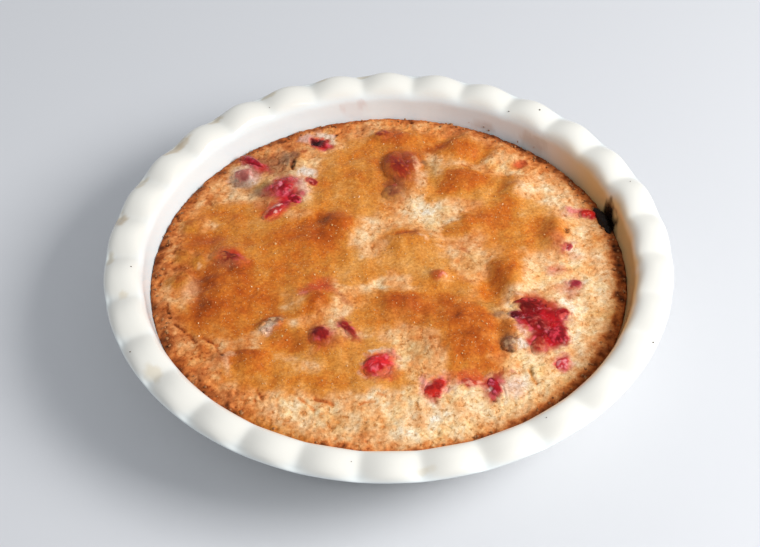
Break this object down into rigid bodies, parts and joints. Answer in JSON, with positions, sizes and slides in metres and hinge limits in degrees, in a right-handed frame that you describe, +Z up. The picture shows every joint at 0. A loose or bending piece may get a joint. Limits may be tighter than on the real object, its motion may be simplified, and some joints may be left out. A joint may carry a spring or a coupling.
{
  "type": "nantucket cranberry pie in its pie dish",
  "caption": "Uncut cranberry pie with a cake-like caramel crust and burst red berries, baked in its own round white ceramic dish with a rippled rim.",
  "frame": {"origin": "middle of the dish's base, on the surface that it stands on", "axes": "+Z up through the middle of the pie; +X to the right and -Y towards the viewer of the picture"},
  "size_m": [0.2788, 0.2792, 0.0486],
  "materials": {
    "white_glaze": "gloss",
    "baked_crust": "satin",
    "cranberry_skin": "gloss",
    "toasted_nut": "matte",
    "burnt_juice": "satin"
  },
  "bodies": {
    "root": {"dish": "white_glaze", "pie": "baked_crust", "cranberry_1": "cranberry_skin", "cranberry_2": "cranberry_skin", "cranberry_3": "cranberry_skin", "cranberry_4": "cranberry_skin", "cranberry_5": "cranberry_skin", "cranberry_6": "cranberry_skin", "cranberry_7": "cranberry_skin", "cranberry_8": "cranberry_skin", "cranberry_9": "cranberry_skin", "cranberry_10": "cranberry_skin", "cranberry_11": "cranberry_skin", "cranberry_12": "cranberry_skin", "cranberry_13": "cranberry_skin", "cranberry_14": "cranberry_skin", "cranberry_15": "cranberry_skin", "cranberry_16": "cranberry_skin", "cranberry_17": "cranberry_skin", "cranberry_18": "cranberry_skin", "cranberry_19": "cranberry_skin", "cranberry_20": "cranberry_skin", "cranberry_21": "cranberry_skin", "cranberry_22": "cranberry_skin", "cranberry_23": "cranberry_skin", "cranberry_24": "cranberry_skin", "cranberry_25": "cranberry_skin", "cranberry_26": "cranberry_skin", "cranberry_27": "cranberry_skin", "nut_piece_1": "toasted_nut", "nut_piece_2": "toasted_nut", "burnt_juice": "burnt_juice"}
  },
  "joints": []
}
